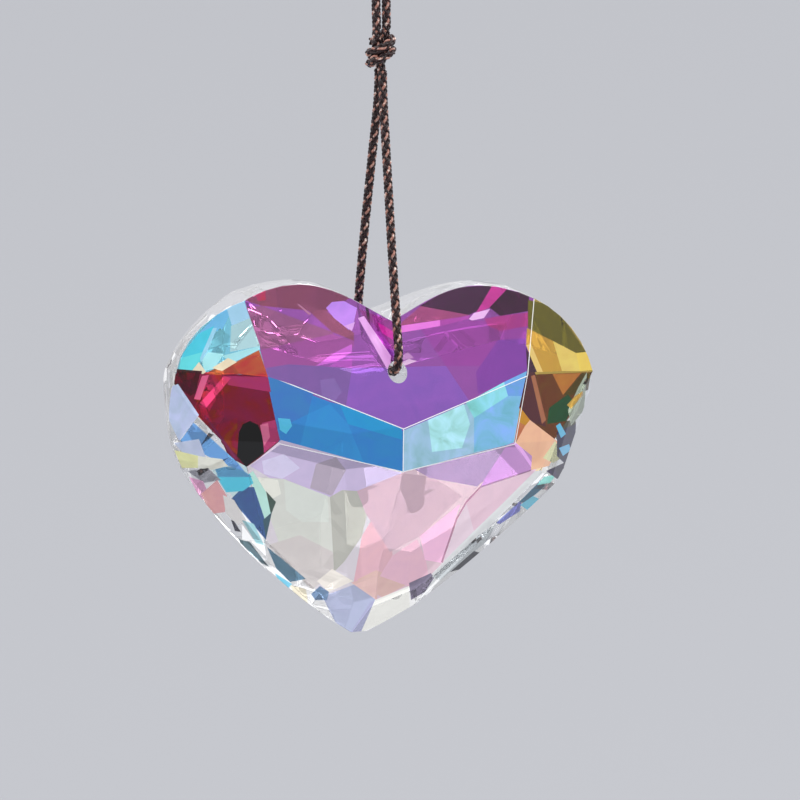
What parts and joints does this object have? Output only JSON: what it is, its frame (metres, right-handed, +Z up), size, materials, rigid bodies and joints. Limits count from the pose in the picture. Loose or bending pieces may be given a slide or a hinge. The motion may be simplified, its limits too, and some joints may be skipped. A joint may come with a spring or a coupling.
{
  "type": "crystal suncatcher",
  "caption": "Solid cut-glass heart with a rainbow coating, drilled near the top and hung on a thin braided cord that is knotted above it and ends in a hanging loop.",
  "frame": {"origin": "inside top of the hanging loop, where a hook or nail holds it", "axes": "+Z up along the cord, +X to the right across the heart as seen from its front, -Y out of the front face with the broad tilted table"},
  "size_m": [0.0459, 0.0188, 0.0827],
  "materials": {
    "crystal": "polished",
    "cord": "braided"
  },
  "bodies": {
    "root": {"crystal_heart": "crystal", "cord_front_strand": "cord", "cord_back_strand": "cord", "cord_knot": "cord", "cord_hanging_loop": "cord"}
  },
  "joints": []
}
